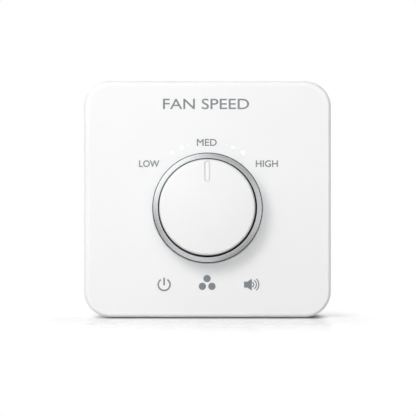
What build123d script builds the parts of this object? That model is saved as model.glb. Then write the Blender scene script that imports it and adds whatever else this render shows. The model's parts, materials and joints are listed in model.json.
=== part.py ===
from build123d import *
from math import asin, atan, cos, degrees, radians, sin
import os

# A wall-mounted fan speed controller: a white moulded cover on a wall base, a round knob in a turned
# metal ring, and the two circuit boards, potentiometer and terminals that it holds inside.
# Every size is in millimetres. The pieces are drawn as the controller lies on its back: x runs to the
# right, y runs up the wall, and levels count outwards from the wall. write() stands them up, so that
# +Z is up, +X is right and the wall lies at Y = 0 with the knob towards -Y.

past = 1.0               # cuts run this far past the faces that they open
full_turn = 360.0

# Housing, as seen from the front
plate_width = 86.0
plate_height = 82.3
plate_corner = 9.0
edge_round = 1.5
side_wall = 2.2
front_wall = 2.4
inner_round = 0.8
knob_drop = 3.2          # how far the knob's axis lies under the middle of the plate

# Wall base
base_floor = 2.6
base_inset = 0.5         # the base's edge stays this far inside the cover's
seam = 0.3
upstand_wall = 1.5
upstand_height = 4.5
skirt_clearance = 0.25
wall_screw_spacing = 60.0
wall_slot_width = 4.2
wall_slot_length = 9.0
slot_pad = 1.0
slot_pad_margin = 2.4
entry_width = 30.0
entry_height = 9.0
entry_corner = 2.0
entry_rim = 1.2
entry_rim_height = 2.0
floor_rib = 1.2
floor_rib_height = 1.4
back_rim = 3.0           # flat rim on the wall round the relief in the base's back
back_relief = 0.8
back_pad_margin = 2.4
back_rib = 1.6
back_rib_spacing = 15.0

# Snap hooks that hold the cover on the base
hook_width = 6.4
hook_depth = 0.9
hook_length = 1.6
hook_ramp = 1.0
hook_offset = 20.0
hook_play = 0.3
release_notch_depth = 1.4

# Vents in the cover's top and bottom
vent_count = 9
vent_pitch = 5.0
vent_width = 1.6
vent_length = 10.0
vent_level = 15.0

# Circuit boards
board_thickness = 1.6
post_height = 4.4
post_radius = 2.8
board_side_gap = 2.4
board_corner = 3.0
board_screw_inset = 4.0
bay_clearance = 1.2      # free height over the tallest part on the power board
pad_height = 3.8         # the control board lies this far behind the cover's face
boss_radius = 2.6
control_board_gap = 1.8
control_board_corner = 5.0
control_screw_inset = 4.6
wall_screw_bite = 7.0    # radius of the board's bites round the wall screws

# Board screws
screw_radius = 0.95
screw_length = 5.0
screw_head_radius = 2.1
screw_head_height = 1.3
screw_crown = 0.62       # the flat top's share of the head's radius, and how steeply its side falls
screw_slot = 0.6
screw_slot_depth = 0.6
screw_clearance = 0.35
pilot_gap = 0.05
pilot_spare = 0.4

# Terminal block
terminal_ways = 4
terminal_pitch = 7.5
terminal_depth = 9.5
terminal_height = 10.4
terminal_gap = 0.8       # under the potentiometer's tongue
board_past_terminal = 1.0
entry_below_terminal = 1.5
terminal_wall = 1.5
cage_width = 4.4
cage_depth = 6.0
cage_height = 4.8
cage_bore = 1.7
cage_bore_floor = 0.35
cage_play = 0.1
clamp_screw_radius = 1.2
clamp_head_radius = 1.8
clamp_head_height = 1.6
clamp_screw_gap = 0.2
clamp_well_radius = 2.1

# Parts on the power board. The large ones stand in a row over the wall screws, the rest under them.
sink_across = -17.0
choke_across = 4.5
suppressor_across = 18.8
reservoir_across = 27.6
reservoir_spacing = 8.0
supply_across = 17.0
fuse_across = 22.6
varistor_across = -22.6
link_across = -16.6
part_chamfer = 0.4
sink_width = 22.0
sink_length = 18.0
sink_base = 2.0
fin_height = 8.6
fin_thickness = 1.0
fin_pitch = 2.3
fins_each_side = 3
triac_width = 9.6
triac_body_length = 8.6
triac_body_height = 4.2
triac_tab_length = 6.0
triac_tab_thickness = 1.2
triac_leg = 0.8
triac_leg_pitch = 2.5
triac_leg_reach = 3.8
tab_margin = 0.5
tab_screw_radius = 1.5
tab_screw_play = 0.1
tab_head_radius = 2.6
tab_head_height = 1.8
choke_outer = 7.4
choke_inner = 4.2
choke_height = 6.0
choke_wire = 0.8
choke_turns = 16
choke_span = 330.0
choke_groove = 0.35
suppressor_width = 7.2
suppressor_length = 15.0
suppressor_height = 10.0
suppressor_round = 0.8
reservoir_radius = 3.0
reservoir_height = 9.0
reservoir_crimp = 0.3
reservoir_crimp_level = 1.8
reservoir_crimp_width = 1.1
supply_width = 10.5
supply_length = 13.0
supply_height = 9.4
supply_chamfer = 0.6
fuse_radius = 4.0
fuse_height = 7.4
fuse_foot = 0.8
fuse_step = 0.3
varistor_radius = 4.4
varistor_height = 3.6
varistor_edge = 0.9
link_columns = 4
link_rows = 2
link_pitch = 2.54
link_pin = 0.64
link_pin_gap = 0.09
socket_height = 8.0
socket_gap = 0.6

# Parts on the control board
chip_from_side = 15.0    # from the control board's left edge
chip_drop = 16.8         # under the knob's axis
chip_length = 9.9
chip_width = 3.9
chip_height = 1.5
chip_legs_each_side = 8
chip_leg_pitch = 1.27
chip_leg_width = 0.42
chip_leg_thickness = 0.2
chip_leg_reach = 1.05
sounder_from_side = 15.0  # from the control board's right edge
sounder_rise = 8.1       # over the control board's lower edge
sounder_radius = 4.5
sounder_height = 5.0
sounder_port = 0.9
sounder_port_depth = 1.0
sign_rise = 11.15        # the touch signs lie this far over the plate's lower edge
sign_spacing = 15.1
touch_pad_radius = 4.0
touch_pad_waist = 3.2
lamp_length = 2.0
lamp_width = 1.25
lamp_height = 0.8

# The white dots round the knob, from the outermost pair inwards
dot_spacing = 3.8        # from the knob's ring to the circle of dots
dot_angles = (32.5, 23.0, 16.8)
dot_radii = (0.80, 0.75, 0.40)
guide_width = 3.0
guide_thickness = 1.1
guide_overhang = 1.7
guide_fit = 0.05
guide_stand_proud = 0.1
stake_radius = 0.6
stake_height = 1.5
stake_angle = 38.5

# Potentiometer
pot_radius = 8.2
pot_front_plate = 1.5
pot_can_wall = 0.3
pot_can_depth = 4.9
bushing_radius = 3.5
bushing_past_nut = 1.2
bushing_chamfer = 0.3
shaft_radius = 3.0
shaft_clearance = 0.05
shaft_pivot_radius = 1.7
shaft_flat = 1.5         # from the axis to the flat of the D
shaft_flat_length = 4.0
shaft_chamfer = 0.4
wafer_thickness = 1.0
wafer_level = 0.9        # over the bottom of the can
wafer_play = 0.1
track_thickness = 0.1
track_inner = 4.6
track_outer = 6.6
track_gap_angle = 80.0
rotor_radius = 5.2
rotor_thickness = 1.5
rotor_gap = 0.3
wiper_thickness = 0.25
wiper_inner = 3.4
wiper_finger = 1.6
wiper_contact_radius = 0.5
wiper_contact_gap = 0.1
lug_radius = 6.9
lug_half_angle = 14.0
stop_peg_radius = 0.6
stop_peg_circle = 6.5
stop_spare_angle = 1.0
leg_width = 0.8
leg_thickness = 0.3
leg_spacing = 5.0
leg_fit = 0.05
leg_hole_play = 0.3
leg_past_wafer = 0.4
leg_past_board = 0.6
tongue_width = 12.0
tongue_play = 0.5
leg_tongue = 1.8         # how far the wafer's tongue reaches past the can
washer_radius = 5.6
washer_thickness = 0.5
nut_across_flats = 10.0
nut_thickness = 2.0
nut_chamfer = 0.5
thread_gap = 0.05
clip_radius = 4.1
clip_thickness = 0.4
clip_groove_depth = 0.5
clip_gap = 0.1
clip_opening = 70.0

# Knob
knob_travel = 53.0       # degrees from MED to LOW, and from MED to HIGH
knob_height = 9.8        # from the plate's face to the top of the cap
knob_lift = 0.6          # running gap under the knob
ring_radius = 19.05
ring_wall = 1.95
ring_below_cap = 1.45
ring_bevel = 0.25
ring_edge = 0.25
ring_flange = 0.9        # the rebate that the carrier's flange fills
flange_height = 1.0
well_gap = 0.2
well_depth = 1.2
well_backing = 0.9
well_backing_margin = 1.0
well_edge = 0.15
cap_gap = 0.45
cap_dome = 0.9
cap_round = 1.2
cap_wall = 1.5
cap_seat = 2.9           # the carrier's floor lies this far under the ring's face
carrier_wall = 1.6
carrier_floor = 1.5
carrier_ribs = 6
carrier_rib_turn = 30.0
carrier_rear_gap = 0.2
carrier_fit = 0.05
carrier_rib_height = 1.2
carrier_rib_thickness = 1.0
hub_radius = 5.6
hub_below_cap = 0.5
hub_over_clip = 0.3
peg_radius = 1.2
peg_circle = 11.0
peg_fit = 0.1
pegs = 3
peg_turn = 60.0
spring_thickness = 0.3
spring_width = 4.0
spring_play = 0.05
spring_margin = 0.2
pointer_width = 1.64
pointer_length = 6.9
pointer_from_edge = 0.8
pointer_thickness = 0.7
pointer_depth = 0.25
pointer_fit = 0.12

# Levels, from the wall outwards, in the order in which the controller is stacked
tallest_part = max(terminal_height, suppressor_height, reservoir_height, supply_height, fuse_height,
                   varistor_height, sink_base + fin_height, choke_height + 2 * choke_wire,
                   socket_height + 2 * socket_gap)
skirt_level = base_floor + seam
power_rear = base_floor + post_height
power_front = power_rear + board_thickness
control_rear = power_front + tallest_part + bay_clearance
control_front = control_rear + board_thickness
cover_inner = control_front + pad_height
body_depth = cover_inner + front_wall
well_floor = body_depth - well_depth
nut_level = well_floor + washer_thickness
bushing_end = nut_level + nut_thickness + bushing_past_nut
clip_level = bushing_end + clip_gap
knob_rear = well_floor + knob_lift
knob_top = body_depth + knob_height
ring_front = knob_top - ring_below_cap
carrier_top = ring_front - cap_seat
hub_top = knob_top - cap_dome - cap_wall - hub_below_cap
pot_rear = control_rear - pot_front_plate - pot_can_depth
wafer_bottom = pot_rear + wafer_level
wafer_top = wafer_bottom + wafer_thickness
rotor_bottom = wafer_top + track_thickness + wiper_thickness + rotor_gap
rotor_top = rotor_bottom + rotor_thickness
pot_plate_level = control_rear - pot_front_plate

# Widths that several pieces share
ring_inner = ring_radius - ring_wall
cap_radius = ring_inner - cap_gap
cap_slope = 2 * atan(cap_dome / (cap_radius - cap_round))
cap_side_top = knob_top - cap_dome - cap_round * cos(cap_slope)
well_radius = ring_radius + well_gap
dot_circle = ring_radius + dot_spacing
upstand_inset = side_wall + skirt_clearance
board_inset = upstand_inset + upstand_wall + board_side_gap
control_inset = side_wall + control_board_gap
control_half_width = plate_width / 2 - control_inset
control_half_height = plate_height / 2 - control_inset
pilot_radius = screw_radius + pilot_gap
power_top = plate_height / 2 - board_inset
terminal_bottom = -knob_drop - pot_radius - leg_tongue - terminal_gap - terminal_depth
power_bottom = terminal_bottom - board_past_terminal
power_half_width = plate_width / 2 - board_inset
entry_centre = terminal_bottom - entry_below_terminal - entry_height / 2
hook_level = base_floor + upstand_height / 2 - hook_length / 2
knob_axis = Pos(0, -knob_drop, 0)
upper_row = (wall_screw_bite + power_top) / 2
lower_row = (power_bottom - wall_screw_bite) / 2
power_screws = [(side * (power_half_width - board_screw_inset), y)
                for side in (-1, 1)
                for y in (power_bottom + board_screw_inset, power_top - board_screw_inset)]
control_screws = [(x * (control_half_width - control_screw_inset),
                   y * (control_half_height - control_screw_inset))
                  for x in (-1, 1) for y in (-1, 1)]
all_dots = [(side * angle, radius) for side in (-1, 1) for angle, radius in zip(dot_angles, dot_radii)]


def slab(outline, low, high):
    """A flat outline made solid between two levels."""
    return extrude(Pos(0, 0, low) * outline, high - low)


def peg(radius, low, high, x=0.0, y=0.0):
    """A round bar between two levels."""
    return slab(Pos(x, y) * Circle(radius), low, high)


def tube(outer, inner, low, high, x=0.0, y=0.0):
    """A round bar with a bore between two levels."""
    return slab(Pos(x, y) * (Circle(outer) - Circle(inner)), low, high)


def brick(width, height, low, high, x=0.0, y=0.0):
    """A square-cornered block between two levels."""
    return slab(Pos(x, y) * Rectangle(width, height), low, high)


def turned(*outline):
    """A solid turned about the upright axis from an outline of (radius, level) points."""
    return revolve(Plane.XZ * make_face(Polyline(*outline, close=True)), Axis.Z)


def sector(inner, outer, low, high, middle, span):
    """A ring segment. Its middle stands at an angle in degrees clockwise from straight up."""
    section = Plane.XZ * Pos((inner + outer) / 2, (low + high) / 2) * Rectangle(outer - inner, high - low)
    return Rot(0, 0, 90 - middle - span / 2) * revolve(section, Axis.Z, revolution_arc=span)


def on_circle(radius, angle):
    """The point at a radius and an angle in degrees clockwise from straight up."""
    return radius * sin(radians(angle)), radius * cos(radians(angle))


def housing_outline(inset):
    """The controller's outline from the front, drawn in by an inset."""
    return RectangleRounded(plate_width - 2 * inset, plate_height - 2 * inset, plate_corner - inset)


# Housing

def wall_base():
    """The moulded base on the wall: floor, upstand for the cover, board posts, screw slots, cable entry."""
    base = slab(housing_outline(base_inset), 0, base_floor)
    upstand_top = base_floor + upstand_height
    base += slab(housing_outline(upstand_inset) - housing_outline(upstand_inset + upstand_wall),
                 0, upstand_top)
    for x, y in power_screws:
        base += peg(post_radius, 0, power_rear, x, y)
    for y in (power_bottom + board_screw_inset, power_top - board_screw_inset):
        base += brick(2 * power_half_width - 2 * board_screw_inset, floor_rib,
                      0, base_floor + floor_rib_height, 0, y)
    for side in (-1, 1):
        x = side * wall_screw_spacing / 2
        base += slab(Pos(x, 0) * SlotOverall(wall_slot_length + 2 * slot_pad_margin,
                                             wall_slot_width + 2 * slot_pad_margin),
                     0, base_floor + slot_pad)
    entry = Pos(0, entry_centre) * RectangleRounded(entry_width, entry_height, entry_corner)
    rim = Pos(0, entry_centre) * RectangleRounded(entry_width + 2 * entry_rim, entry_height + 2 * entry_rim,
                                                  entry_corner + entry_rim)
    base += slab(rim, 0, base_floor + entry_rim_height)
    base -= slab(entry, -past, base_floor + entry_rim_height + past)
    for side in (-1, 1):
        slot = Pos(side * wall_screw_spacing / 2, 0) * SlotOverall(wall_slot_length, wall_slot_width)
        base -= slab(slot, -past, base_floor + slot_pad + past)
    for x, y in power_screws:
        base -= peg(pilot_radius, power_front - screw_length - pilot_spare, power_rear + past, x, y)
    for x in (-hook_offset, hook_offset):
        window = brick(hook_width + 2 * hook_play, plate_height - 2 * upstand_inset + 2 * past,
                       hook_level - hook_play, hook_level + hook_length + hook_play, x)
        inside = brick(2 * hook_width, plate_height - 2 * (upstand_inset + upstand_wall) - past,
                       hook_level - past, hook_level + hook_length + past, x)
        base -= window - inside
        base -= brick(hook_width, 2 * release_notch_depth, -past, base_floor + past,
                      x, base_inset - plate_height / 2)
    return base - back_recess()


def back_recess():
    """The shallow relief in the base's back. Its ribs and the pads round the openings stay on the wall."""
    recess = housing_outline(base_inset + back_rim)
    pad = SlotOverall(wall_slot_length + 2 * back_pad_margin, wall_slot_width + 2 * back_pad_margin)
    for side in (-1, 1):
        recess -= Pos(side * wall_screw_spacing / 2, 0) * pad
    recess -= Pos(0, entry_centre) * RectangleRounded(entry_width + 2 * back_pad_margin,
                                                      entry_height + 2 * back_pad_margin,
                                                      entry_corner + back_pad_margin)
    for i in (-2, -1, 0, 1, 2):
        recess -= Pos(i * back_rib_spacing, 0) * Rectangle(back_rib, plate_height)
    return slab(recess, -past, back_relief)


def hook(x, side):
    """One wedge inside the skirt: it rides over the upstand on its ramp and catches in the window."""
    face = plate_height / 2 - side_wall
    root = side_wall / 2
    wedge = make_face(Polyline((face + root, hook_level), (face, hook_level),
                               (face - hook_depth, hook_level + hook_ramp),
                               (face - hook_depth, hook_level + hook_length),
                               (face + root, hook_level + hook_length), close=True))
    piece = Pos(x, 0) * extrude(Plane.YZ * wedge, hook_width / 2, both=True)
    return piece if side > 0 else mirror(piece, Plane.XZ)


def front_cover():
    """The white cover: one moulding with a rounded front edge, the knob's well, bosses, hooks and vents."""
    shell = slab(housing_outline(0), skirt_level, body_depth)
    shell = fillet(shell.edges().group_by(Axis.Z)[-1], edge_round)
    cavity = slab(housing_outline(side_wall), skirt_level - past, cover_inner)
    cavity = fillet(cavity.edges().group_by(Axis.Z)[-1], inner_round)
    cover = shell - cavity
    wall_middle = cover_inner + front_wall / 2
    cover += knob_axis * peg(well_radius + well_backing_margin, cover_inner - well_backing, wall_middle)
    well = peg(well_radius, well_floor, body_depth + past)
    cover -= knob_axis * well
    mouth = cover.edges().filter_by(GeomType.CIRCLE).group_by(Axis.Z)[-1]
    cover = chamfer(mouth, well_edge)
    cover -= knob_axis * peg(bushing_radius + thread_gap * 2, control_front, body_depth + past)
    for x, y in control_screws:
        cover += peg(boss_radius, control_front, wall_middle, x, y)
        cover -= peg(pilot_radius, control_front - past, control_rear + screw_length + pilot_spare, x, y)
    for angle, radius in all_dots:
        cover -= knob_axis * peg(radius + guide_fit, control_front, body_depth + past,
                                 *on_circle(dot_circle, angle))
    for angle in (-stake_angle, stake_angle):
        cover += knob_axis * peg(stake_radius, cover_inner - stake_height, wall_middle,
                                 *on_circle(dot_circle, angle))
    for x in (-hook_offset, hook_offset):
        for side in (-1, 1):
            cover += hook(x, side)
    vent = Plane.XZ * Pos(0, vent_level) * SlotOverall(vent_length, vent_width, rotation=90)
    for i in range(vent_count):
        x = (i - (vent_count - 1) / 2) * vent_pitch
        cover -= Pos(x, 0) * extrude(vent, plate_height, both=True)
    return cover


def light_guide():
    """One clear moulding: an arc behind the cover with six pins that show as the white dots."""
    span = 2 * (stake_angle + degrees(guide_overhang / dot_circle))
    inner, outer = dot_circle - guide_width / 2, dot_circle + guide_width / 2
    guide = sector(inner, outer, cover_inner - guide_thickness, cover_inner, 0, span)
    for angle, radius in all_dots:
        guide += peg(radius, cover_inner - guide_thickness, body_depth + guide_stand_proud,
                     *on_circle(dot_circle, angle))
    for angle in (-stake_angle, stake_angle):
        guide -= peg(stake_radius + guide_fit, cover_inner - guide_thickness - past, cover_inner + past,
                     *on_circle(dot_circle, angle))
    return knob_axis * guide


# Circuit boards and their screws

def power_board():
    """The board on the base, bitten out at both sides so that a driver reaches the wall screws."""
    middle = (power_top + power_bottom) / 2
    board = slab(Pos(0, middle) * RectangleRounded(2 * power_half_width, power_top - power_bottom,
                                                   board_corner), power_rear, power_front)
    for side in (-1, 1):
        x = side * wall_screw_spacing / 2
        bite = Pos(x, 0) * Circle(wall_screw_bite)
        bite += Pos(x + side * wall_screw_spacing / 4, 0) * Rectangle(wall_screw_spacing / 2,
                                                                     2 * wall_screw_bite)
        board -= slab(bite, power_rear - past, power_front + past)
    for x, y in power_screws:
        board -= peg(screw_radius + screw_clearance, power_rear - past, power_front + past, x, y)
    return board


def control_board():
    """The board behind the cover. It carries the potentiometer, the lamps and the touch pads."""
    board = slab(RectangleRounded(2 * control_half_width, 2 * control_half_height, control_board_corner),
                 control_rear, control_front)
    board -= knob_axis * peg(bushing_radius + thread_gap * 2, control_rear - past, control_front + past)
    for x in (-leg_spacing, 0, leg_spacing):
        board -= knob_axis * brick(leg_width + leg_hole_play, leg_thickness + leg_hole_play,
                                   control_rear - past, control_front + past, x, leg_line())
    for x, y in control_screws:
        board -= peg(screw_radius + screw_clearance, control_rear - past, control_front + past, x, y)
    for x, y in link_points():
        board -= brick(link_pin + 2 * link_pin_gap, link_pin + 2 * link_pin_gap, control_rear - past,
                       control_front + past, x, y)
    return board


def screw(x, y, head_level, upwards):
    """A pan-head screw whose head stands on a level and whose shank runs up or down from it."""
    radius, height = screw_head_radius, screw_head_height
    piece = turned((0, -height), (radius * screw_crown, -height), (radius, -height * (1 - screw_crown)),
                   (radius, 0), (screw_radius, 0), (screw_radius, screw_length - screw_radius),
                   (0, screw_length))
    piece -= brick(2 * radius, screw_slot, -height - past, screw_slot_depth - height)
    return Pos(x, y, head_level) * (piece if upwards else Rot(180, 0, 0) * piece)


def power_board_screws():
    return [screw(x, y, power_front, False) for x, y in power_screws]


def control_board_screws():
    return [screw(x, y, control_rear, True) for x, y in control_screws]


# Parts on the power board

def terminal_places():
    return [(i - (terminal_ways - 1) / 2) * terminal_pitch for i in range(terminal_ways)]


def cage_levels():
    """The brass cages' lowest and highest levels inside the terminal block."""
    low = power_front + terminal_wall
    return low, low + cage_height


def terminal_block():
    """The four-way terminal housing: a cell and wire mouth for each cage, and a driver well over it."""
    low, high = cage_levels()
    top = power_front + terminal_height
    middle = terminal_bottom + terminal_depth / 2
    block = brick(terminal_ways * terminal_pitch, terminal_depth, power_front, top, 0, middle)
    block = chamfer(block.edges().group_by(Axis.Z)[-1].group_by(Axis.Y)[0], terminal_wall)
    for x in terminal_places():
        depth = cage_depth + terminal_wall
        block -= brick(cage_width + 2 * cage_play, depth, low, high + cage_play,
                       x, terminal_bottom + depth / 2)
        block -= peg(clamp_well_radius, high, top + past,
                     x, terminal_bottom + terminal_wall + cage_depth / 2)
    return block


def terminal_cages():
    """The brass cages: a bore for the wire, and a tapped hole for the screw over it."""
    low, high = cage_levels()
    cages = []
    for x in terminal_places():
        y = terminal_bottom + terminal_wall + cage_depth / 2
        cage = brick(cage_width, cage_depth, low, high, x, y)
        bore = Plane.XZ * Pos(x, low + cage_bore_floor + cage_bore) * Circle(cage_bore)
        cage -= extrude(bore, plate_height, both=True)
        cage -= peg(clamp_screw_radius, low + cage_height / 2, high + past, x, y)
        cages.append(cage)
    return cages


def terminal_screws():
    """The slotted clamp screws, run half-way down in their cages."""
    low, high = cage_levels()
    pieces = []
    for x in terminal_places():
        y = terminal_bottom + terminal_wall + cage_depth / 2
        piece = peg(clamp_screw_radius, low + cage_height / 2 + clamp_screw_gap, high, x, y)
        head = peg(clamp_head_radius, high, high + clamp_head_height, x, y)
        head -= brick(2 * clamp_head_radius, screw_slot, high + clamp_head_height / 2,
                      high + clamp_head_height + past, x, y)
        pieces.append(piece + head)
    return pieces


def heat_sink():
    """The extruded aluminium heat sink: a base with upright fins at both sides of the triac."""
    x, y = sink_across, upper_row
    low, high = power_front + sink_base, power_front + sink_base + fin_height
    sink = brick(sink_width, sink_length, power_front, low, x, y)
    for side in (-1, 1):
        for i in range(fins_each_side):
            fin = x + side * (sink_width / 2 - fin_thickness / 2 - i * fin_pitch)
            sink += brick(fin_thickness, sink_length, power_front, high, fin, y)
    return sink - peg(tab_screw_radius, power_front - past, low + past, *tab_hole())


def tab_hole():
    """The hole in the triac's tab, near the heat sink's upper end."""
    return sink_across, upper_row + sink_length / 2 - triac_tab_length / 2 - tab_margin


def triac():
    """The triac, flat on the heat sink: metal tab, moulded body and three legs down to the board."""
    x, hole_y = tab_hole()
    low = power_front + sink_base
    tab_top = hole_y + triac_tab_length / 2
    body_top = hole_y - triac_tab_length / 2
    body_bottom = body_top - triac_body_length
    length = tab_top - body_bottom
    piece = brick(triac_width, length, low, low + triac_tab_thickness, x, tab_top - length / 2)
    body = brick(triac_width, triac_body_length, low, low + triac_body_height, x,
                 body_top - triac_body_length / 2)
    piece += chamfer(body.edges().group_by(Axis.Z)[-1], part_chamfer)
    piece -= peg(tab_screw_radius, low - past, low + triac_tab_thickness + past, x, hole_y)
    leg_level = low + triac_body_height / 2
    end = body_bottom - triac_leg_reach
    for i in (-1, 0, 1):
        leg_x = x + i * triac_leg_pitch
        piece += brick(triac_leg, triac_leg_reach + triac_leg, leg_level, leg_level + triac_leg / 2,
                       leg_x, end + (triac_leg_reach + triac_leg) / 2)
        piece += brick(triac_leg, triac_leg / 2, power_front, leg_level + triac_leg / 2,
                       leg_x, end + triac_leg / 4)
    return piece


def triac_screw():
    """The screw that holds the triac's tab on the heat sink."""
    x, y = tab_hole()
    seat = power_front + sink_base + triac_tab_thickness
    piece = peg(tab_screw_radius - tab_screw_play, power_front + tab_screw_play, seat, x, y)
    head = peg(tab_head_radius, seat, seat + tab_head_height, x, y)
    head = chamfer(head.edges().group_by(Axis.Z)[-1], part_chamfer)
    return piece + head - brick(2 * tab_head_radius, screw_slot, seat + tab_head_height / 2,
                                seat + tab_head_height + past, x, y)


def choke_core():
    """The ferrite ring of the choke, inside its winding."""
    low = power_front + choke_wire
    core = tube(choke_outer, choke_inner, low, low + choke_height, choke_across, upper_row)
    return chamfer(core.edges().group_by(Axis.Z)[-1] + core.edges().group_by(Axis.Z)[0], part_chamfer)


def choke_winding():
    """The wire wound round the ring, with a groove between each turn and the next."""
    top = power_front + choke_height + 2 * choke_wire
    wound = sector(choke_inner - choke_wire, choke_outer + choke_wire, power_front, top, 0, choke_span)
    low = power_front + choke_wire
    wound -= tube(choke_outer, choke_inner, low, low + choke_height)
    step = choke_span / choke_turns
    reach = choke_outer + choke_wire + past
    web = tube(choke_outer + choke_wire / 2, choke_inner - choke_wire / 2, low - choke_wire / 2,
               low + choke_height + choke_wire / 2)
    cut = brick(choke_groove, reach, power_front - past, top + past, 0, reach / 2) - web
    for i in range(1, choke_turns):
        wound -= Rot(0, 0, choke_span / 2 - i * step) * cut
    return Pos(choke_across, upper_row) * wound


def suppression_capacitor():
    """The box-shaped capacitor across the mains."""
    box = brick(suppressor_width, suppressor_length, power_front, power_front + suppressor_height,
                suppressor_across, upper_row)
    return fillet(box.edges().filter_by(Axis.Z), suppressor_round)


def smoothing_capacitors():
    """The two aluminium cans, each with the crimp groove over its rubber bung."""
    radius, height, crimp = reservoir_radius, reservoir_height, reservoir_crimp
    below = reservoir_crimp_level - reservoir_crimp_width / 2
    above = reservoir_crimp_level + reservoir_crimp_width / 2
    can = turned((0, 0), (radius - crimp, 0), (radius, crimp), (radius, below),
                 (radius - crimp, reservoir_crimp_level), (radius, above), (radius, height - crimp),
                 (radius - crimp, height), (0, height))
    return [Pos(reservoir_across, upper_row + side * reservoir_spacing / 2, power_front) * can
            for side in (-1, 1)]


def supply_module():
    """The potted block that makes low voltage for the control board."""
    block = brick(supply_width, supply_length, power_front, power_front + supply_height,
                  supply_across, -knob_drop)
    return chamfer(block.edges().group_by(Axis.Z)[-1], supply_chamfer)


def fuse():
    """The round plug-in fuse, with a step at its foot."""
    side = fuse_radius - fuse_step
    body = turned((0, 0), (fuse_radius, 0), (fuse_radius, fuse_foot), (side, fuse_foot),
                  (side, fuse_height - part_chamfer), (side - part_chamfer, fuse_height), (0, fuse_height))
    return Pos(fuse_across, lower_row, power_front) * body


def varistor():
    """The surge absorber: a coated disc that lies flat on the board."""
    disc = peg(varistor_radius, power_front, power_front + varistor_height, varistor_across, lower_row)
    return chamfer(disc.edges().filter_by(GeomType.CIRCLE), varistor_edge)


def link_points():
    """Where the pins between the two boards stand."""
    return [(link_across + (i - (link_columns - 1) / 2) * link_pitch,
             (j - (link_rows - 1) / 2) * link_pitch - knob_drop)
            for i in range(link_columns) for j in range(link_rows)]


def link_socket():
    """The socket on the power board that takes the control board's pins."""
    top = power_front + socket_height
    block = brick(link_columns * link_pitch, link_rows * link_pitch, power_front, top,
                  link_across, -knob_drop)
    for x, y in link_points():
        size = link_pin + 2 * link_pin_gap
        block -= brick(size, size, power_front + board_thickness, top + past, x, y)
    return block


def link_header():
    """The pin header behind the control board. Its pins reach down into the socket."""
    low = power_front + socket_height + socket_gap
    header = brick(link_columns * link_pitch, link_rows * link_pitch, low, control_rear,
                   link_across, -knob_drop)
    for x, y in link_points():
        header += brick(link_pin, link_pin, power_front + socket_height / 2,
                        control_front + link_pin, x, y)
    return header


# Parts on the control board

def controller_chip():
    """The microcontroller behind the control board, with a gull-wing leg at each contact."""
    x, y = chip_from_side - control_half_width, -knob_drop - chip_drop
    stand = chip_leg_thickness
    body = brick(chip_length, chip_width, control_rear - stand - chip_height, control_rear - stand, x, y)
    chip = chamfer(body.edges().group_by(Axis.Z)[0], chip_height / 5)
    middle = control_rear - stand - chip_height / 2
    for i in range(chip_legs_each_side):
        leg_x = x + (i - (chip_legs_each_side - 1) / 2) * chip_leg_pitch
        for side in (-1, 1):
            root = y + side * chip_width / 2
            knee = chip_leg_reach / 2
            chip += brick(chip_leg_width, 2 * knee, middle - stand / 2, middle + stand / 2, leg_x, root)
            chip += brick(chip_leg_width, stand, middle - stand / 2, control_rear,
                          leg_x, root + side * (knee - stand / 2))
            chip += brick(chip_leg_width, knee + stand, control_rear - stand, control_rear,
                          leg_x, root + side * (1.5 * knee - stand / 2))
    return chip


def sounder():
    """The round piezo sounder behind the control board, with its sound port."""
    x, y = control_half_width - sounder_from_side, sounder_rise - control_half_height
    can = peg(sounder_radius, control_rear - sounder_height, control_rear, x, y)
    can = chamfer(can.edges().group_by(Axis.Z)[0], part_chamfer)
    return can - peg(sounder_port, control_rear - sounder_height - past,
                     control_rear - sounder_height + sounder_port_depth, x, y)


def touch_pads():
    """Three conductive pillars between the control board and the cover, one behind each printed sign."""
    middle = (control_front + cover_inner) / 2
    pillar = turned((0, control_front), (touch_pad_radius, control_front), (touch_pad_waist, middle),
                    (touch_pad_radius, cover_inner), (0, cover_inner))
    return [Pos(i * sign_spacing, sign_rise - plate_height / 2) * pillar for i in (-1, 0, 1)]


def speed_lamps():
    """A small lamp under each pin of the light guide."""
    lamps = []
    for angle, _ in all_dots:
        lamp = brick(lamp_width, lamp_length, control_front, control_front + lamp_height)
        lamp = chamfer(lamp.edges().group_by(Axis.Z)[-1], lamp_height / 5)
        lamps.append(knob_axis * Pos(*on_circle(dot_circle, angle)) * Rot(0, 0, -angle) * lamp)
    return lamps


# Potentiometer, fixed pieces

def leg_line():
    """How far under the knob's axis the potentiometer's legs stand."""
    return -pot_radius - leg_tongue + leg_thickness


def stop_angle():
    """From straight down to a stop peg: the rotor's lug meets it just past the end of the knob's travel."""
    half_peg = degrees(asin(stop_peg_radius / stop_peg_circle))
    return knob_travel + lug_half_angle + half_peg + stop_spare_angle


def pot_bushing():
    """The cast front plate with its threaded bushing, the shaft's bearing, and two stop pegs inside."""
    piece = turned((shaft_radius + shaft_clearance, pot_plate_level), (pot_radius, pot_plate_level),
                   (pot_radius, control_rear), (bushing_radius, control_rear),
                   (bushing_radius, bushing_end - bushing_chamfer),
                   (bushing_radius - bushing_chamfer, bushing_end),
                   (shaft_radius + shaft_clearance, bushing_end))
    for side in (-1, 1):
        place = on_circle(stop_peg_circle, 180 + side * stop_angle())
        piece += peg(stop_peg_radius, rotor_bottom, control_rear - pot_front_plate / 2, *place)
    return knob_axis * piece


def pot_can():
    """The pressed steel can round the track, open below for the wafer's tongue."""
    can = tube(pot_radius, pot_radius - pot_can_wall, pot_rear, pot_plate_level)
    can += peg(pot_radius, pot_rear, pot_rear + pot_can_wall)
    can -= brick(tongue_width + 2 * tongue_play, pot_radius, pot_rear + pot_can_wall,
                 pot_plate_level + past, 0, -pot_radius)
    return knob_axis * can


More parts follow.
